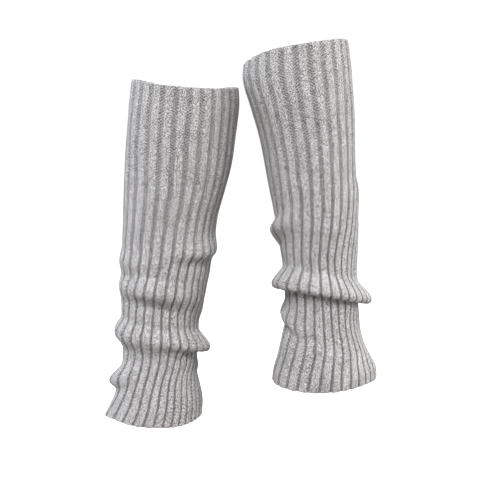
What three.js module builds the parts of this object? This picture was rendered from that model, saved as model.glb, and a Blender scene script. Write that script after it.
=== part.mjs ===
// A pair of rib-knit leg warmers, worn slouched: smooth over the calves and pushed down into soft
// folds over the ankles. Each one is a single tube knitted in the round, open at both ends.
// Millimetres, +Z up. Seen from the front (from -Y), +X is to the right.
// The origin is midway between the middles of the two top openings, where the wearer's calves hold them.

import * as THREE from 'three';
import { ParametricGeometry } from 'three/addons/geometries/ParametricGeometry.js';
import { mergeVertices } from 'three/addons/utils/BufferGeometryUtils.js';

const clothThickness = 3;
const ribsRound = 26;      // the tube has one facet for each rib
const slouchFrom = 155;    // level below which the cloth is pushed down
const smoothSpacing = 22;  // between rings above it
const slouchedSpacing = 6.5; // between rings below it
const foldSpacing = 4.4;   // between rings on a fold that stands out further than deepOut
const deepOut = 9.5;
const foldRoll = 0.2;      // how far past its crest a fold hangs lowest, as a share of its lower slope
const nudge = 0.25;        // step used to find which way the cloth faces

const warmers = [
  {
    name: 'leg_warmer_left',
    topMiddle: -17,
    // A row for each section. down: below the middle of the top opening. across, back: its middle.
    // right, front: how far its right side and its front stand above its middle.
    sections: [
      { down: 0, across: -62.3, back: 0, halfWidth: 60.2, halfDepth: 61, right: -4.5, front: 0 },
      { down: 20, across: -63.2, back: 1, halfWidth: 61.9, halfDepth: 62, right: -4, front: 0 },
      { down: 60, across: -67.5, back: 3, halfWidth: 61.6, halfDepth: 62, right: -4, front: 0 },
      { down: 97, across: -71.4, back: 4, halfWidth: 60.2, halfDepth: 60, right: -2, front: 0 },
      { down: 131, across: -76.6, back: 3, halfWidth: 56.8, halfDepth: 57, right: 0, front: 1 },
      { down: 156, across: -80.4, back: 2, halfWidth: 54, halfDepth: 54, right: 2, front: 2 },
      { down: 200, across: -84.2, back: 1, halfWidth: 52.3, halfDepth: 52, right: 2, front: 3 },
      { down: 235, across: -89.2, back: 0, halfWidth: 49, halfDepth: 50, right: -4, front: 7 },
      { down: 265, across: -92.6, back: 0, halfWidth: 45, halfDepth: 47, right: -6, front: 9 },
      { down: 290, across: -93.4, back: 0, halfWidth: 43.5, halfDepth: 45, right: -6, front: 10 },
      { down: 320, across: -93.8, back: 0, halfWidth: 43, halfDepth: 45, right: 1, front: 6 },
      { down: 345, across: -97, back: 0, halfWidth: 46.5, halfDepth: 48, right: 8, front: 4 },
      { down: 371, across: -98.3, back: 0, halfWidth: 53.7, halfDepth: 53, right: 5, front: 2 },
      { down: 387, across: -101.6, back: 0, halfWidth: 56.5, halfDepth: 55, right: 1.3, front: 0 },
    ],
    // A row for each fold. side: the way its middle faces, in degrees from the front towards +X.
    // reach: how far round it runs either way; round: the share of it that goes on all round.
    // down: the level of its crest there; fall: how much lower it lies a quarter turn further on.
    // out: how far it stands out, or in where negative; droop: how far it hangs down, or is drawn up.
    // above, below: the lengths of cloth in its upper and lower slopes.
    folds: [
      { side: 180, reach: 58, round: 0, down: 13, fall: 0, out: 0, droop: 13, above: 1, below: 70 },
      { side: 56, reach: 42, round: 0, down: 183, fall: 0, out: 6, droop: 6, above: 15, below: 10 },
      { side: 50, reach: 36, round: 0, down: 192, fall: 0, out: -2, droop: 0, above: 6, below: 12 },
      { side: -95, reach: 40, round: 0, down: 196, fall: 0, out: 1.8, droop: 0, above: 14, below: 22 },
      { side: 185, reach: 48, round: 0, down: 208, fall: 6, out: 7, droop: 8, above: 16, below: 12 },
      { side: -12, reach: 62, round: 0, down: 235, fall: 2, out: 6, droop: 6, above: 17, below: 12 },
      { side: 0, reach: 46, round: 0, down: 249, fall: 3, out: -2.5, droop: 0, above: 7, below: 12 },
      { side: 160, reach: 50, round: 0, down: 258, fall: -7, out: 7, droop: 8, above: 16, below: 13 },
      { side: -70, reach: 70, round: 0.4, down: 297, fall: 0, out: 8.5, droop: 5, above: 15, below: 18 },
      { side: 78, reach: 52, round: 0.1, down: 297, fall: 0, out: 12.5, droop: 11, above: 13, below: 14 },
      { side: 48, reach: 20, round: 0, down: 313, fall: -30, out: -3.5, droop: 0, above: 6, below: 8 },
      { side: -94, reach: 42, round: 0, down: 339, fall: -13, out: 13, droop: 3, above: 12, below: 14 },
      { side: 150, reach: 50, round: 0, down: 344, fall: 8, out: 7, droop: 5, above: 15, below: 14 },
      { side: -55, reach: 25, round: 0, down: 383, fall: 0, out: 0, droop: -4, above: 40, below: 1 },
      { side: 30, reach: 35, round: 0, down: 390, fall: 0, out: 0, droop: 3, above: 40, below: 1 },
    ],
  },
  {
    name: 'leg_warmer_right',
    topMiddle: 16.1,
    sections: [
      { down: 0, across: 63, back: 0, halfWidth: 58.8, halfDepth: 58, right: 13.8, front: 11.3 },
      { down: 22, across: 64.7, back: 1, halfWidth: 60.8, halfDepth: 59, right: 10, front: 10 },
      { down: 55, across: 70.8, back: 3, halfWidth: 58, halfDepth: 59, right: 7, front: 8 },
      { down: 95, across: 77.3, back: 4, halfWidth: 53.7, halfDepth: 56, right: 4, front: 6 },
      { down: 150, across: 83.6, back: 3, halfWidth: 50, halfDepth: 52, right: 2, front: 4 },
      { down: 190, across: 88.6, back: 1, halfWidth: 47.2, halfDepth: 49, right: 0, front: 4 },
      { down: 228, across: 91, back: 0, halfWidth: 44, halfDepth: 46, right: -5, front: 8 },
      { down: 262, across: 93, back: 0, halfWidth: 42, halfDepth: 44, right: -9, front: 10 },
      { down: 288, across: 94.8, back: 0, halfWidth: 42, halfDepth: 44, right: -6, front: 6 },
      { down: 320, across: 95.7, back: 0, halfWidth: 45.3, halfDepth: 47, right: -6, front: 1 },
      { down: 348, across: 98, back: 0, halfWidth: 53.6, halfDepth: 52, right: -2, front: -2 },
      { down: 364, across: 98.8, back: 0, halfWidth: 59.3, halfDepth: 55, right: 1, front: -3 },
      { down: 377, across: 98.4, back: 0, halfWidth: 60.4, halfDepth: 55, right: 1.3, front: -3.6 },
    ],
    folds: [
      { side: -35, reach: 40, round: 0, down: -4, fall: 0, out: 0, droop: -4, above: 1, below: 50 },
      { side: 90, reach: 36, round: 0, down: 154, fall: 0, out: 2.4, droop: 0, above: 12, below: 34 },
      { side: 175, reach: 45, round: 0, down: 186, fall: 5, out: 7, droop: 8, above: 15, below: 12 },
      { side: -84, reach: 40, round: 0, down: 202, fall: -18, out: 9, droop: 0, above: 16, below: 21 },
      { side: 0, reach: 90, round: 1, down: 271, fall: 0, out: 15, droop: 15, above: 9, below: 14 },
      { side: 38, reach: 30, round: 0, down: 290, fall: 0, out: -3, droop: 0, above: 8, below: 14 },
      { side: -88, reach: 52, round: 0, down: 305, fall: 13, out: 5.5, droop: 2, above: 12, below: 13 },
      { side: -66, reach: 46, round: 0, down: 321, fall: 12, out: -3, droop: 0, above: 8, below: 13 },
      { side: 165, reach: 48, round: 0, down: 322, fall: -6, out: 7, droop: 5, above: 14, below: 13 },
      { side: 48, reach: 30, round: 0, down: 374, fall: 0, out: 0, droop: -3, above: 30, below: 1 },
    ],
  },
];

// Any column of the sections at any level, on a smooth curve through the rows.
function sectionAt(sections, down) {
  const last = sections.length - 1;
  const level = THREE.MathUtils.clamp(down, 0, sections[last].down);
  const i = Math.min(sections.findLastIndex((row) => row.down <= level), last - 1);
  const span = sections[i + 1].down - sections[i].down;
  const t = (level - sections[i].down) / span;
  const slope = (column, k) => {
    const before = sections[Math.max(k - 1, 0)];
    const after = sections[Math.min(k + 1, last)];
    return (after[column] - before[column]) / (after.down - before.down);
  };
  const section = {};
  for (const column of Object.keys(sections[0])) {
    section[column] =
      (1 + 2 * t) * (1 - t) ** 2 * sections[i][column] +
      t * (1 - t) ** 2 * span * slope(column, i) +
      t ** 2 * (3 - 2 * t) * sections[i + 1][column] +
      t ** 2 * (t - 1) * span * slope(column, i + 1);
  }
  return section;
}

// 1 on the crest of a slope that rises over one length of cloth and sinks over another, 0 past them.
function bell(past, above, below) {
  const share = Math.min(Math.abs(past) / (past < 0 ? above : below), 1);
  return (1 + Math.cos(Math.PI * share)) / 2;
}

// How much of a fold there is at a turn and a level: outwards, and down, which peaks a little later,
// so that its edge rolls over and runs back up underneath.
function foldShares(fold, turn, down) {
  const aside = turn - THREE.MathUtils.degToRad(fold.side);
  const sharpness = 1 / (1 - Math.cos(THREE.MathUtils.degToRad(fold.reach)));
  const fade = fold.round + (1 - fold.round) * Math.exp((Math.cos(aside) - 1) * sharpness);
  const past = down - (fold.down - fold.droop + fold.fall * Math.sin(aside));
  const roll = fold.out > 0 ? foldRoll * fold.below : 0;
  return {
    out: fade * bell(past, fold.above, fold.below),
    droop: fade * bell(past - roll, fold.above + roll, fold.below - roll),
  };
}

// The middle of the cloth's thickness.
function clothMiddle(warmer, turn, down) {
  const section = sectionAt(warmer.sections, down);
  let out = -clothThickness / 2;
  let droop = 0;
  for (const fold of warmer.folds) {
    const share = foldShares(fold, turn, down);
    out += fold.out * share.out;
    droop += fold.droop * share.droop;
  }
  const rise = section.right * Math.sin(turn) + section.front * Math.cos(turn);
  return new THREE.Vector3(
    section.across + (section.halfWidth + out) * Math.sin(turn),
    section.back - (section.halfDepth + out) * Math.cos(turn),
    warmer.topMiddle - section.down - droop + rise,
  );
}

// A point of the outer or inner face, half the thickness from the middle.
function facePoint(warmer, turn, down, offset) {
  const length = warmer.sections.at(-1).down;
  const upper = clothMiddle(warmer, turn, Math.max(down - nudge, 0));
  const lower = clothMiddle(warmer, turn, Math.min(down + nudge, length));
  const angle = nudge / 10;
  const round = clothMiddle(warmer, turn + angle, down).sub(clothMiddle(warmer, turn - angle, down));
  const facing = lower.sub(upper).cross(round).normalize();
  return clothMiddle(warmer, turn, down).addScaledVector(facing, offset);
}

// Levels of the rings: wide apart where the cloth is smooth, and close where a deep fold hangs over.
function ringLevels(warmer) {
  const length = warmer.sections.at(-1).down;
  const levels = [0];
  while (levels.at(-1) < length) {
    const level = levels.at(-1) + nudge;
    const hanging = warmer.folds.some((fold) => {
      const past = level - (fold.down - fold.droop);
      return fold.out > deepOut && past > -fold.above && past < fold.below;
    });
    const slouched = level > slouchFrom;
    const spacing = hanging ? foldSpacing : slouched ? slouchedSpacing : smoothSpacing;
    levels.push(Math.min(levels.at(-1) + spacing, length));
  }
  return levels;
}

// The tube as one closed skin: down the outer face, under the hem and up the inner face.
function tubeGeometry(warmer) {
  const levels = ringLevels(warmer);
  const outer = levels.map((down) => ({ down, offset: clothThickness / 2 }));
  const inner = levels.map((down) => ({ down, offset: -clothThickness / 2 })).reverse();
  const rings = [...outer, ...inner];
  const surface = (u, v, target) => {
    const ring = rings[Math.round(v * rings.length) % rings.length];
    target.copy(facePoint(warmer, -u * 2 * Math.PI, ring.down, ring.offset));
  };
  const skin = new ParametricGeometry(surface, ribsRound, rings.length);
  skin.deleteAttribute('normal');
  skin.deleteAttribute('uv');
  const geometry = mergeVertices(skin, 0.001);
  geometry.computeVertexNormals();
  return geometry;
}

const pair = new THREE.Group();
pair.name = 'leg_warmers';
for (const warmer of warmers) {
  const knit = new THREE.MeshStandardMaterial({ color: 0xb9b8b5, roughness: 0.95, metalness: 0 });
  const tube = new THREE.Mesh(tubeGeometry(warmer), knit);
  tube.name = warmer.name;
  pair.add(tube);
}

export default pair;
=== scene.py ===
import math

import bpy
import numpy as np
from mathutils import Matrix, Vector


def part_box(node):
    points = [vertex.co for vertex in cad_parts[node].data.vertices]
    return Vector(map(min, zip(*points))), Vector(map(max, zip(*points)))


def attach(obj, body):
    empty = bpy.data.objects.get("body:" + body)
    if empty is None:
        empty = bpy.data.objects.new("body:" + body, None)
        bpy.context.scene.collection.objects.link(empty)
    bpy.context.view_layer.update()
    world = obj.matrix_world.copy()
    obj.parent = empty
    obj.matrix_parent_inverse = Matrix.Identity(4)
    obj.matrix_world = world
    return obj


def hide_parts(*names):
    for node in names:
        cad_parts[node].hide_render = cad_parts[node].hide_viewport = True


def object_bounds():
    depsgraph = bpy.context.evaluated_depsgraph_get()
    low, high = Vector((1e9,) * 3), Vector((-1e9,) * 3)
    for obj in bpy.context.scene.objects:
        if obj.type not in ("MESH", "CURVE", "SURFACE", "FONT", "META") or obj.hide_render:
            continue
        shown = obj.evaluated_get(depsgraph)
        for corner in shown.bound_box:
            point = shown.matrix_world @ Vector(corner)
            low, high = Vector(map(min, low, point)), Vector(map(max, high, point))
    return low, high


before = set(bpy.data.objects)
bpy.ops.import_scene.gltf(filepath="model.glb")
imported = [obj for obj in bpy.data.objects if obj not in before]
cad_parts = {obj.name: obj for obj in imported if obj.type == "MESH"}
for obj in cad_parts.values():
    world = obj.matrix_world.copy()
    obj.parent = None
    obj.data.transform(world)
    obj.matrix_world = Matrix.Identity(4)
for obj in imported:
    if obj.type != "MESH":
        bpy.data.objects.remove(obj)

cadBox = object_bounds()
mm = 0.001
print("frame loaded")


def linearColour(hexColour):
    shares = [int(hexColour[i:i + 2], 16) / 255 for i in (0, 2, 4)]
    return [*(s / 12.92 if s <= 0.04045 else ((s + 0.055) / 1.055) ** 2.4 for s in shares), 1]


def addNode(tree, kind, links=None, **settings):
    node = tree.nodes.new(kind)
    for setting, value in settings.items():
        setattr(node, setting, value)
    for socket, value in (links or {}).items():
        if isinstance(value, bpy.types.Node):
            value = value.outputs[0]
        if isinstance(value, bpy.types.NodeSocket):
            tree.links.new(value, node.inputs[socket])
        else:
            node.inputs[socket].default_value = value
    return node


mixFirst, mixSecond, mixResult = 6, 7, 2  # where a Mix node keeps its two colours, and its result


# Camera: level with the rims and looking slightly down, from the front
camera = {
    "lens": 130,
    "distance": 2.0,
    "lookDown": 10,  # degrees
    "aim": -0.0115,  # height of the aim above the middle of the pair, in metres
}

lowest, highest = (Vector(corner) for corner in cadBox)
middle = (lowest + highest) / 2
cameraData = bpy.data.cameras.new("camera")
cameraData.lens = camera["lens"]
cameraObject = bpy.data.objects.new("camera", cameraData)
bpy.context.scene.collection.objects.link(cameraObject)
lookDown = math.radians(camera["lookDown"])
aim = Vector((0, 0, middle.z + camera["aim"]))
towardsCamera = Vector((0, -math.cos(lookDown), math.sin(lookDown)))
cameraObject.location = aim + camera["distance"] * towardsCamera
cameraObject.rotation_euler = (math.pi / 2 - lookDown, 0, 0)
bpy.context.scene.camera = cameraObject
print("camera placed")


# What both tubes share, with lengths in millimetres
knit = {
    "thickness": 3.0,
    "ribs": 26,
    "ribHeight": 0.8,      # above the cloth's outer face
    "ribRoundness": 2.4,   # 2 is an arch, more is squarer
    "waleDip": 0.22,       # between the two columns of stitches on a rib
    "waleDipWidth": 0.07,  # as a share of the rib's width
    "openGroove": 0.41,    # share of a rib's pitch that its groove takes where the cloth is stretched
    "closedGroove": 0.24,  # and where it is slack
    "grooveDepth": 1.8,    # below the outer face where the cloth is slack
    "openDepth": 0.7,      # share of that depth where it is stretched
    "grooveFlatness": 4,   # more is a flatter floor
    # The shade in the grooves is painted into the cloth's colour, as a darkness that follows the
    # grooves
    "openPaintedShade": 0.68,     # how much painted shade a groove has where the cloth is stretched
    "closedPaintedShade": 0.88,   # and where it is slack
    "wallPaintedShade": 0.8,      # share of a groove's painted shade that its walls, and the first column of the rib beside it, have
    "rimPaintedShade": 0.6,       # and that it has round the two edges
    "innerPaintedShade": 0.4,     # and inside
    "innerRelief": 0.3,    # share of the ribs' height that shows inside
    "course": 3.2,         # height of a row of stitches, a little taller than knitted so that it shows
    "outerRows": 250,
    "innerRows": 54,
    "rimRows": 5,
    "softening": 5,        # rounds of smoothing along the cloth, which round the lips of the folds
    "foldRoll": 0.1,       # how far past its crest a fold hangs lowest, as a share of its lower slope
    "edgeRoundness": 0.55,  # how far the two edges stand out, as a share of the thickness
    "edgeWave": 0.2,       # how much higher the ribs stand at the cast-on and cast-off edges
    "unevenness": 0.5,     # of the cloth between its folds
    "unevenLength": 60,    # of its waves
    "unevenFrom": 40,      # how far down the cloth is as uneven as that
    "unevenAtTop": 0.2,    # share of it at the top edge
    "wander": 0.45,        # of each rib from its line
    "wanderLength": 90,
    "widthSpread": 0.07,   # of the ribs, as a share of their width
    "seed": 7,
}

# Places of the columns of points across a groove and the rib beside it, as shares of each one's width
grooveShares = np.array((0.0, 0.2, 0.5, 0.8))
ribShares = np.array((0.0, 0.06, 0.2, 0.42, 0.5, 0.58, 0.8, 0.94))

# A section: down, below the middle of the top opening along the leg; across and back, its middle from
# the middle of the piece's box; halfWidth, halfDepth; right and front, how far that side stands up.
# A fold: side, the way its middle faces in degrees from the front; reach, how far round it runs; round,
# the share of it that goes all round; down, its crest there; fall, how much lower it is a quarter turn
# on; out; droop, how far it hangs; above and below, the cloth in its two slopes.
# A row of ribs: down; groove, the angle at which one groove runs; front and right, how much wider than
# usual the ribs are on that side, as a share, where negative is narrower; open, how far the grooves are
# drawn open, from 0 to 1.
leftWarmer = {
    "node": "leg_warmer_left",
    "topBelowBox": 3.6,
    "sections": (
        (0, 17.4, -2, 60.2, 61, -4.5, 0),
        (20, 16.5, -1, 61.9, 62, -4, 0),
        (60, 12.2, 1, 61.6, 62, -4, 0),
        (97, 8.3, 2, 60.2, 60, -2, 0),
        (131, 3.1, 1, 56.8, 57, 0, 1),
        (156, -0.7, 0, 54, 54, 2, 2),
        (200, -4.5, -1, 52.3, 52, 2, 3),
        (235, -9.5, -2, 49, 50, -4, 7),
        (265, -12.9, -2, 45, 47, -6, 9),
        (290, -13.7, -2, 43.5, 45, -6, 10),
        (320, -14.1, -2, 43, 45, 1, 6),
        (345, -17.3, -2, 46.5, 48, 8, 4),
        (371, -18.6, -2, 53.7, 53, 5, 2),
        (387, -21.9, -2, 56.5, 55, 1.3, 0),
    ),
    "folds": (
        (180, 58, 0, 13, 0, 0, 13, 1, 70),
        (-50, 30, 0, 178, 0, 1.2, 0, 9, 9),
        (56, 42, 0, 194, 0, 6, 3.5, 17, 12),
        (50, 40, 0, 205, 0, -2.5, 0, 7, 13),
        (-95, 40, 0, 196, 0, 1.8, 0, 14, 22),
        (185, 48, 0, 208, 6, 7, 8, 16, 12),
        (-50, 45, 0, 204, 0, 1.8, 1, 9, 9),
        (-45, 50, 0, 222, 0, -2, 0, 8, 8),
        (-12, 62, 0, 243, 2, 6, 3, 18, 17),
        (0, 50, 0, 261, 3, -2.5, 0, 9, 13),
        (160, 50, 0, 258, -7, 7, 8, 16, 13),
        (-70, 70, 0.4, 294, 7, 8.5, 2, 15, 19),
        (78, 52, 0.1, 301, -3, 12.5, 9, 14, 15),
        (48, 20, 0, 313, -30, -3.5, 0, 6, 8),
        (-94, 46, 0, 340, -4, 13, 3, 13, 13),
        (150, 50, 0, 344, 8, 7, 5, 15, 14),
        (-55, 25, 0, 383, 0, 0, -4, 40, 1),
        (30, 35, 0, 390, 0, 0, 3, 40, 1),
    ),
    "ribLines": (
        (0, 6.5, 0, -0.12, 1),
        (69, 8, 0.02, -0.12, 1),
        (127, 10.7, 0, -0.15, 0.9),
        (165, 9.9, 0, -0.15, 0.7),
        (211, 7, -0.05, -0.16, 0.15),
        (262, 5.3, -0.07, -0.16, 0.05),
        (318, 3.4, -0.06, -0.3, 0),
        (360, -5.3, -0.2, -0.45, 0),
        (387, -9, -0.22, -0.45, 0),
    ),
}

rightWarmer = {
    "node": "leg_warmer_right",
    "topBelowBox": 18.0,
    "sections": (
        (0, -18.4, -1.3, 58.8, 58, 13.8, 11.3),
        (22, -16.7, -0.3, 60.8, 59, 10, 10),
        (55, -10.6, 1.7, 58, 59, 7, 8),
        (95, -4.1, 2.7, 53.7, 56, 4, 6),
        (150, 2.2, 1.7, 50, 52, 2, 4),
        (190, 7.2, -0.3, 47.2, 49, 0, 4),
        (228, 9.6, -1.3, 44, 46, -5, 8),
        (262, 11.6, -1.3, 42, 44, -9, 10),
        (288, 13.4, -1.3, 42, 44, -6, 6),
        (320, 14.3, -1.3, 45.3, 47, -6, 1),
        (348, 16.6, -1.3, 53.6, 52, -2, -2),
        (364, 17.4, -1.3, 59.3, 55, 1, -3),
        (377, 17.0, -1.3, 60.4, 55, 1.3, -3.6),
    ),
    "folds": (
        (-35, 40, 0, -4, 0, 0, -4, 1, 50),
        (90, 36, 0, 154, 0, 2.4, 0, 12, 34),
        (175, 45, 0, 186, 5, 7, 8, 15, 12),
        (-84, 40, 0, 202, -18, 9, 0, 16, 21),
        (0, 40, 0, 199, 0, 1.5, 1, 16, 12),
        (85, 30, 0, 262, 0, 3.5, 1, 13, 14),
        (0, 90, 1, 275, 0, 15, 12, 11, 14),
        (42, 18, 0, 281, 0, 3, -5, 12, 16),
        (-88, 52, 0, 305, 13, 5.5, 2, 12, 13),
        (-66, 46, 0, 321, 12, -3, 0, 8, 13),
        (-16, 10, 0, 323, 12, -3, 0, 7, 7),
        (-11, 7, 0, 334, 0, 3.6, 2, 9, 6),
        (165, 48, 0, 322, -6, 7, 5, 14, 13),
        (48, 30, 0, 374, 0, 0, -3, 30, 1),
    ),
    "ribLines": (
        (0, -2.5, 0.08, -0.05, 1),
        (39, -3.1, 0.08, -0.05, 1),
        (76, -3.9, 0.06, -0.05, 0.95),
        (120, -3.3, 0.05, -0.1, 0.85),
        (164, -5.3, 0.02, -0.12, 0.55),
        (219, -13.2, -0.07, -0.25, 0.1),
        (240, -15.8, -0.1, -0.3, 0.05),
        (307, -13.6, -0.07, -0.38, 0),
        (332, -12.7, -0.07, -0.25, 0),
        (358, -17.9, -0.15, -0.26, 0),
        (377, -20, -0.15, -0.26, 0),
    ),
}


# Every column of a table at each level, on a smooth curve through its rows
def rowsAt(table, down):
    rows = np.array(table, float)
    levels, last = rows[:, 0], len(rows) - 1
    before = np.maximum(np.arange(last + 1) - 1, 0)
    after = np.minimum(np.arange(last + 1) + 1, last)
    slopes = (rows[after] - rows[before]) / (levels[after] - levels[before])[:, None]
    level = np.clip(down, 0, levels[last])
    i = np.clip(np.searchsorted(levels, level, side="right") - 1, 0, last - 1)
    span = (levels[i + 1] - levels[i])[..., None]
    t = (level[..., None] - levels[i][..., None]) / span
    return ((1 + 2 * t) * (1 - t) ** 2 * rows[i] + t * (1 - t) ** 2 * span * slopes[i]
            + t ** 2 * (3 - 2 * t) * rows[i + 1] + t ** 2 * (t - 1) * span * slopes[i + 1])


# 1 on a crest, falling softly to 0 over one length above it and another below
def bell(past, above, below):
    share = np.minimum(np.abs(past) / np.where(past < 0, above, below), 1)
    return (1 + np.cos(math.pi * share)) / 2


# Points in the middle of the cloth's thickness, with its folds, as a grid of rows by columns
def clothMiddle(warmer, turn, down):
    section = rowsAt(warmer["sections"], down)
    across, back, halfWidth, halfDepth, right, front = (section[..., k] for k in range(1, 7))
    out = np.full(turn.shape, -knit["thickness"] / 2)
    droop = np.zeros(turn.shape)
    for side, reach, around, crest, fall, foldOut, foldDroop, above, below in warmer["folds"]:
        aside = turn - math.radians(side)
        narrowness = 1 - math.cos(math.radians(reach))
        fade = around + (1 - around) * np.exp((np.cos(aside) - 1) / narrowness)
        past = down - (crest - foldDroop + fall * np.sin(aside))
        roll = knit["foldRoll"] * below if foldOut > 0 else 0
        out += foldOut * fade * bell(past, above, below)
        droop += foldDroop * fade * bell(past - roll, above + roll, below - roll)
    rise = right * np.sin(turn) + front * np.cos(turn)
    return np.stack((
        across + (halfWidth + out) * np.sin(turn),
        back - (halfDepth + out) * np.cos(turn),
        rise - down - droop - warmer["topBelowBox"],
    ), axis=-1)


# Levels that lie evenly along the cloth, and how much cloth is above each
def evenLevels(warmer, count):
    length = warmer["sections"][-1][0]
    fine = np.linspace(0, length, 2 * length + 1)  # every half millimetre
    sides = 48  # lines down the cloth that are measured
    turn = np.linspace(0, 2 * math.pi, sides, endpoint=False)
    points = clothMiddle(warmer, np.broadcast_to(turn, (len(fine), len(turn))), fine[:, None])
    steps = np.linalg.norm(np.diff(points, axis=0), axis=-1)
    longest = np.concatenate(([0], np.cumsum(steps.max(axis=1))))
    usual = np.concatenate(([0], np.cumsum(steps.mean(axis=1))))
    levels = np.interp(np.linspace(0, longest[-1], count), longest, fine)
    return levels, np.interp(levels, fine, usual)


def facings(points):  # of a grid that closes on itself sideways, towards the outside
    around = np.roll(points, -1, axis=1) - np.roll(points, 1, axis=1)
    along = np.gradient(points, axis=0)
    facing = np.cross(along, around)
    return facing / np.linalg.norm(facing, axis=-1, keepdims=True)


# Soft seeded waves over the cloth, between about -1 and 1
def softNoise(rng, turn, down, length, count=14):
    laps = rng.integers(1, 9, count)
    phases = rng.uniform(0, 2 * math.pi, count)
    swings = rng.uniform(-1, 1, count)
    total = np.zeros(np.broadcast(turn, down).shape)
    for lap, phase, swing in zip(laps, phases, swings):
        total += np.sin(lap * turn + phase + 2 * math.pi * swing * down / length)
    return total / math.sqrt(count / 2) / 2


# The turn of each column of points, how high it stands from the cloth's outer face, and how much
# painted shade it has as part of a groove, for rows at these levels
def ribColumns(warmer, down, rng):
    ribs = knit["ribs"]
    sections, lines = rowsAt(warmer["sections"], down), rowsAt(warmer["ribLines"], down)
    start, front, right, opened = (lines[:, k, None] for k in range(1, 5))
    start = np.radians(start)
    radius = (sections[:, 3, None] + sections[:, 4, None]) / 2

    # the turn at which a rib's line lies, where 2 pi is once round, found by repeated guesses
    def placed(step, guesses=25):
        turn = start + step
        for _ in range(guesses):
            turn = (start + step + front * (np.sin(turn) - np.sin(start))
                    - right * (np.cos(turn) - np.cos(start)))
        return turn

    # even pitches, each rib wandering a little and each groove a little wider or narrower than the next
    even = 2 * math.pi * np.arange(ribs + 1)[None, :] / ribs + 0 * start
    lean, waves = 60, 6  # millimetres down for each radian of the waves, and how many are summed
    wander = np.stack([softNoise(rng, down / lean, down, knit["wanderLength"], waves)
                       for _ in range(ribs)], axis=1)
    wander = np.concatenate((wander, wander[:, :1]), axis=1) * knit["wander"] / radius
    share = knit["closedGroove"] + (knit["openGroove"] - knit["closedGroove"]) * opened
    share = share * (1 + knit["widthSpread"] * rng.uniform(-1, 1, ribs))[None, :]
    share = np.concatenate((share, share[:, :1]), axis=1)
    half = math.pi * share / ribs
    centre = even + wander
    grooveStart, grooveEnd = centre - half, centre + half
    grooveWidth = (grooveEnd - grooveStart)[:, :-1, None]
    ribWidth = (grooveStart[:, 1:] - grooveEnd[:, :-1])[:, :, None]
    inGroove = grooveStart[:, :-1, None] + grooveWidth * grooveShares
    onRib = grooveEnd[:, :-1, None] + ribWidth * ribShares
    turn = placed(np.concatenate((inGroove, onRib), axis=2).reshape(len(down), -1))

    slack = 1 - opened[:, :, None] + np.zeros((1, ribs, 1))
    floor = 1 - np.abs(2 * grooveShares - 1) ** knit["grooveFlatness"]
    dip = np.exp(-((ribShares - 0.5) / knit["waleDipWidth"]) ** 2)
    arch = 1 - np.abs(2 * ribShares - 1) ** knit["ribRoundness"]
    crown = knit["ribHeight"] * arch - knit["waleDip"] * dip
    depth = knit["grooveDepth"] * (knit["openDepth"] + (1 - knit["openDepth"]) * slack)
    height = np.concatenate((-depth * floor, crown + 0 * slack), axis=2)
    # painted shade across a groove and its rib: at least the walls' share in the groove and on the
    # rib's first column, none on the rest
    paintedShadeAcross = np.concatenate((np.maximum(floor, knit["wallPaintedShade"]),
                                  np.where(ribShares == 0, knit["wallPaintedShade"], 0)))
    paintedShade = paintedShadeAcross * (knit["openPaintedShade"] + (knit["closedPaintedShade"] - knit["openPaintedShade"]) * slack)
    return turn, height.reshape(len(down), -1), paintedShade.reshape(len(down), -1)


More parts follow.
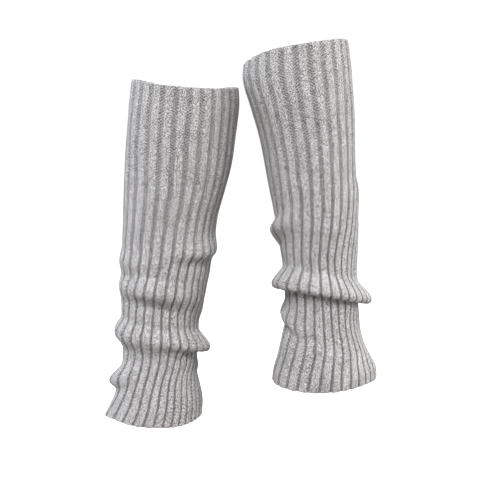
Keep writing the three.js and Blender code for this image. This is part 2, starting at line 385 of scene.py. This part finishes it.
def buildWarmer(warmer):
    rng = np.random.default_rng(knit["seed"])
    low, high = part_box(warmer["node"])
    place = np.array(((low.x + high.x) / 2, (low.y + high.y) / 2, high.z))
    levels, cloth = evenLevels(warmer, knit["outerRows"])

    turn, height, paintedShade = ribColumns(warmer, levels, rng)
    middlePoints = clothMiddle(warmer, turn, levels[:, None])
    for _ in range(knit["softening"]):
        middlePoints[1:-1] = (middlePoints[:-2] + 2 * middlePoints[1:-1] + middlePoints[2:]) / 4
    facing = facings(middlePoints)
    uneven = knit["unevenness"] * softNoise(rng, turn, levels[:, None], knit["unevenLength"])
    uneven *= np.clip(levels[:, None] / knit["unevenFrom"], knit["unevenAtTop"], 1)
    middlePoints += facing * uneven[..., None]
    outer = middlePoints + facing * (knit["thickness"] / 2 + height)[..., None]
    inside = np.linspace(0, len(levels) - 1, knit["innerRows"]).round().astype(int)
    inward = facing * (knit["thickness"] / 2 - knit["innerRelief"] * height)[..., None]
    inner = (middlePoints - inward)[inside]

    # the two edges, rounded over from the outer face to the inner one
    def edge(outerRow, innerRow, away):
        wave = knit["edgeWave"] * np.clip(height[0] / knit["ribHeight"], -1, 1)
        rows = []
        for k in range(1, knit["rimRows"] + 1):
            swing = math.pi * k / (knit["rimRows"] + 1)
            blend = (1 - math.cos(swing)) / 2
            bulge = math.sin(swing) * (knit["thickness"] * knit["edgeRoundness"] + wave)
            rows.append(outerRow * (1 - blend) + innerRow * blend + away * bulge[:, None])
        return np.stack(rows)

    topAway = outer[0] - outer[2]
    topAway /= np.linalg.norm(topAway, axis=-1, keepdims=True)
    hemAway = outer[-1] - outer[-3]
    hemAway /= np.linalg.norm(hemAway, axis=-1, keepdims=True)
    hem, rim = edge(outer[-1], inner[-1], hemAway), edge(inner[0], outer[0], topAway)
    grid = np.concatenate((outer, hem, inner[::-1], rim))
    rows, columns = grid.shape[:2]

    # rows of stitches, counted down the outside and on round the hem and up the inside
    steps = np.linalg.norm(np.diff(np.concatenate((grid, grid[:1])), axis=0), axis=-1).mean(axis=1)
    pastHem = cloth[-1] + np.cumsum(steps[len(cloth) - 1:])
    course = np.concatenate((cloth, pastHem)) / knit["course"]

    row, column = np.meshgrid(np.arange(rows), np.arange(columns), indexing="ij")
    nextRow, nextColumn = (row + 1) % rows, (column + 1) % columns
    faces = np.stack((row * columns + column, nextRow * columns + column,
                      nextRow * columns + nextColumn, row * columns + nextColumn), axis=-1)
    faces = faces.reshape(-1, 4)
    mesh = bpy.data.meshes.new(warmer["node"] + "_knit")
    points = place + grid.reshape(-1, 3) * mm
    mesh.vertices.add(len(points))
    mesh.vertices.foreach_set("co", points.ravel())
    mesh.loops.add(faces.size)
    mesh.loops.foreach_set("vertex_index", faces.ravel())
    mesh.polygons.add(len(faces))
    mesh.polygons.foreach_set("loop_start", np.arange(0, faces.size, 4))
    mesh.polygons.foreach_set("use_smooth", np.ones(len(faces), bool))
    mesh.update(calc_edges=True)

    # a map of the stitches: one for each rib across, of which its groove is the first third and its two
    # columns of stitches the others, and one for each row down
    stitches = mesh.uv_layers.new(name="stitches")
    shares = np.concatenate((grooveShares, 1 + 2 * ribShares)) / 3
    ribPlace = np.append((np.arange(knit["ribs"])[:, None] + shares).ravel(), knit["ribs"])
    ribTurn = np.stack([ribPlace[column + k] for k in (0, 0, 1, 1)], axis=-1)
    courseTurn = np.stack([course[row + k] for k in (0, 1, 1, 0)], axis=-1)
    stitchMap = np.stack((ribTurn, courseTurn), axis=-1).astype(np.float32)
    stitches.uv.foreach_set("vector", stitchMap.ravel())

    # how much painted shade each point has as part of a groove, darkening its colour where the grooves
    # lie in shade
    hemPaintedShade = np.repeat(paintedShade[-1:], knit["rimRows"], 0) * knit["rimPaintedShade"]
    rimPaintedShade = np.repeat(paintedShade[:1], knit["rimRows"], 0) * knit["rimPaintedShade"]
    innerPaintedShade = paintedShade[inside][::-1] * knit["innerPaintedShade"]
    paintedGrooveShade = mesh.attributes.new("paintedGrooveShade", "FLOAT", "POINT")
    paintedShades = np.concatenate((paintedShade, hemPaintedShade, innerPaintedShade, rimPaintedShade))
    paintedGrooveShade.data.foreach_set("value", paintedShades.astype(np.float32).ravel())
    mesh.validate()

    piece = bpy.data.objects.new(warmer["node"] + "_knit", mesh)
    bpy.context.scene.collection.objects.link(piece)
    return piece


# Marled acrylic and wool yarn, machine knitted in a 2x1 rib: pale grey with darker flecks, matt and
# softly fuzzy, with slanting loops that make small Vs down the ribs, and painted shade in the grooves,
# in dark bars that follow the purl stitches.
marl = {
    "light": "e7e6e5",
    "dark": "64625f",
    # the colour of the painted shade in the grooves
    "paintedGrooveShade": "2a2625",
    "fleck": 1.15,         # size of the flecks in millimetres, twice the real size so that they show
    "fleckEdges": (0.36, 0.64),  # the noise that is all dark, and all light
    "patch": 22,           # size of the paler and darker patches, in millimetres
    "base": -0.09,         # how light the yarn is, from 0 to 1, before what the next three add
    "fleckShare": 0.77,
    "loopShare": 0.22,
    "patchShare": 0.3,
    "slant": 1.3,          # rows of stitches that a loop slants over in its column's width
    "barPaintedShade": 0.88,      # how much of a groove's painted shade its dark bars have
    "barGap": 0.5,         # and how much less of it there is between them
    "stitchRelief": 0.25,  # millimetres
    "fleckRelief": 0.6,    # as a share of the stitches'
    "roughness": 0.92,
    "specular": 0.25,
    "sheen": 0.25,
    "sheenRoughness": 0.5,
}


def makeMarl():
    material = bpy.data.materials.new("marled_rib_knit")
    material.use_nodes = True
    tree = material.node_tree
    tree.nodes.clear()

    uv = addNode(tree, "ShaderNodeUVMap", uv_map="stitches")
    places = addNode(tree, "ShaderNodeSeparateXYZ", {0: uv})
    ribTurn, course = places.outputs["X"], places.outputs["Y"]
    here = addNode(tree, "ShaderNodeTexCoord").outputs["Object"]

    # loops: slanting waves in each of the three columns of a rib, one column leaning one way and the
    # next the other, and each starting at its own height
    wale = addNode(tree, "ShaderNodeMath", {0: ribTurn, 1: 3.0}, operation="MULTIPLY")
    slant = addNode(tree, "ShaderNodeMath", {0: wale, 1: 1.0}, operation="PINGPONG")
    whole = addNode(tree, "ShaderNodeMath", {0: wale}, operation="FLOOR")
    stagger = addNode(tree, "ShaderNodeTexWhiteNoise", {"W": whole}, noise_dimensions="1D")
    staggered = addNode(tree, "ShaderNodeMath", {0: stagger, 1: course}, operation="ADD")
    slanted = addNode(tree, "ShaderNodeMath", {
        0: slant, 1: marl["slant"], 2: staggered}, operation="MULTIPLY_ADD")
    angle = addNode(tree, "ShaderNodeMath", {0: slanted, 1: 2 * math.pi}, operation="MULTIPLY")
    wave = addNode(tree, "ShaderNodeMath", {0: angle}, operation="SINE")
    loops = addNode(tree, "ShaderNodeMapRange", {0: wave, 1: -1.0, 2: 1.0})

    # flecks of the two yarn colours, and paler and darker patches
    fleck = addNode(tree, "ShaderNodeTexNoise", {
        "Vector": here, "Scale": 1 / (marl["fleck"] * mm), "Detail": 0.0, "Roughness": 0.5})
    patch = addNode(tree, "ShaderNodeTexNoise", {
        "Vector": here, "Scale": 1 / (marl["patch"] * mm), "Detail": 2.0, "Roughness": 0.5})
    darkest, lightest = marl["fleckEdges"]
    flecks = addNode(tree, "ShaderNodeMapRange", {0: fleck, 1: darkest, 2: lightest})
    fleckLight = addNode(tree, "ShaderNodeMath", {
        0: flecks, 1: marl["fleckShare"], 2: marl["base"]}, operation="MULTIPLY_ADD")
    loopLight = addNode(tree, "ShaderNodeMath", {
        0: loops, 1: marl["loopShare"], 2: fleckLight}, operation="MULTIPLY_ADD")
    lightness = addNode(tree, "ShaderNodeMath", {
        0: patch, 1: marl["patchShare"], 2: loopLight}, operation="MULTIPLY_ADD")
    yarn = addNode(tree, "ShaderNodeMix", {
        "Factor": lightness, mixFirst: linearColour(marl["dark"]),
        mixSecond: linearColour(marl["light"])}, data_type="RGBA")

    # painted shade in the grooves, darker in bars where the loops are dark
    inGroove = addNode(tree, "ShaderNodeAttribute", attribute_name="paintedGrooveShade").outputs["Fac"]
    bars = addNode(tree, "ShaderNodeMath", {
        0: loops, 1: -marl["barGap"], 2: marl["barPaintedShade"]}, operation="MULTIPLY_ADD")
    barredPaintedShade = addNode(tree, "ShaderNodeMath", {0: inGroove, 1: bars}, operation="MULTIPLY")
    colour = addNode(tree, "ShaderNodeMix", {
        "Factor": barredPaintedShade, mixFirst: yarn.outputs[mixResult],
        mixSecond: linearColour(marl["paintedGrooveShade"])}, data_type="RGBA")

    relief = addNode(tree, "ShaderNodeMath", {
        0: fleck, 1: marl["fleckRelief"], 2: loops}, operation="MULTIPLY_ADD")
    bump = addNode(tree, "ShaderNodeBump", {
        "Height": relief, "Distance": marl["stitchRelief"] * mm, "Strength": 1.0})
    shader = addNode(tree, "ShaderNodeBsdfPrincipled", {
        "Base Color": colour.outputs[mixResult], "Roughness": marl["roughness"], "Normal": bump,
        "Sheen Weight": marl["sheen"], "Sheen Roughness": marl["sheenRoughness"],
        "Specular IOR Level": marl["specular"]})
    addNode(tree, "ShaderNodeOutputMaterial", {"Surface": shader})
    return material


marlMaterial = makeMarl()
for warmer in (leftWarmer, rightWarmer):
    piece = buildWarmer(warmer)
    piece.data.materials.append(marlMaterial)
    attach(piece, "root")
    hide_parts(warmer["node"])
    print(piece.name, len(piece.data.polygons) * 2, "triangles")


# A plain pale floor well below the hems, and soft light from the front, both sides and behind
studio = {
    "floorBelow": 0.5,     # metres
    "floorReach": 400,     # metres, from the middle to each edge
    "floorColour": "fafafa",
    "floorGlow": 0.8,      # it is lit from behind, so no shadow shows on it
    "above": "e6e6e6",     # ambient light from overhead
    "below": "b5aaa7",     # and from underneath
    "fade": 0.6,           # how far above and below the horizon the two meet, as a share of straight up
    "horizon": 0.05,       # height of the white band that hides the floor's far edge, as such a share
    "ambient": 0.43,
    "lights": (  # name, place from the middle of the pair, size, watts, colour
        ("softbox_front", (-0.5, -2.6, 2.3), 1.6, 107, "fcfcff"),
        ("softbox_right", (1.8, 0.0, 0.5), 1.2, 23, "ffffff"),
        ("softbox_back", (0.0, 2.4, 1.4), 1.8, 60, "ffffff"),
        ("softbox_left", (-1.8, 0.0, 0.5), 1.2, 11, "e6ebff"),
    ),
}

reach, level = studio["floorReach"], lowest.z - studio["floorBelow"]
corners = [(x * reach, y * reach, level) for x, y in ((-1, -1), (1, -1), (1, 1), (-1, 1))]
floorMesh = bpy.data.meshes.new("floor")
floorMesh.from_pydata(corners, [], [(0, 1, 2, 3)])
floor = bpy.data.objects.new("floor", floorMesh)
bpy.context.scene.collection.objects.link(floor)
floor.visible_diffuse = False

# smooth matt paper, an even white
paper = bpy.data.materials.new("studio_paper")
paper.use_nodes = True
paperColour = linearColour(studio["floorColour"])
paperLook = {"Base Color": paperColour, "Roughness": 1,
             "Emission Color": paperColour, "Emission Strength": studio["floorGlow"]}
for socket, value in paperLook.items():
    paper.node_tree.nodes["Principled BSDF"].inputs[socket].default_value = value
floorMesh.materials.append(paper)

for name, place, size, watts, colour in studio["lights"]:
    lightData = bpy.data.lights.new(name, "AREA")
    lightData.size = size
    lightData.energy = watts
    lightData.color = linearColour(colour)[:3]
    light = bpy.data.objects.new(name, lightData)
    light.location = middle + Vector(place)
    light.rotation_euler = (middle - light.location).to_track_quat("-Z", "Y").to_euler()
    bpy.context.scene.collection.objects.link(light)

world = bpy.data.worlds.new("studio")
bpy.context.scene.world = world
world.use_nodes = True
tree = world.node_tree
tree.nodes.clear()
sight = addNode(tree, "ShaderNodeTexCoord").outputs["Generated"]
upward = addNode(tree, "ShaderNodeSeparateXYZ", {0: sight}).outputs["Z"]
heightShare = addNode(tree, "ShaderNodeMapRange", {0: upward, 1: -studio["fade"], 2: studio["fade"]})
sky = addNode(tree, "ShaderNodeMix", {
    "Factor": heightShare, mixFirst: linearColour(studio["below"]),
    mixSecond: linearColour(studio["above"])}, data_type="RGBA")
horizon = addNode(tree, "ShaderNodeMath", {
    0: upward, 1: 0.0, 2: studio["horizon"]}, operation="COMPARE")
bandColour = [1 / studio["ambient"]] * 3 + [1]  # white, once the ambient strength is taken
skyAndBand = addNode(tree, "ShaderNodeMix", {
    "Factor": horizon, mixFirst: sky.outputs[mixResult], mixSecond: bandColour}, data_type="RGBA")
background = addNode(tree, "ShaderNodeBackground", {
    "Color": skyAndBand.outputs[mixResult], "Strength": studio["ambient"]})
addNode(tree, "ShaderNodeOutputWorld", {"Surface": background})
bpy.context.scene.view_settings.view_transform = "Standard"
print("floor and lights placed")
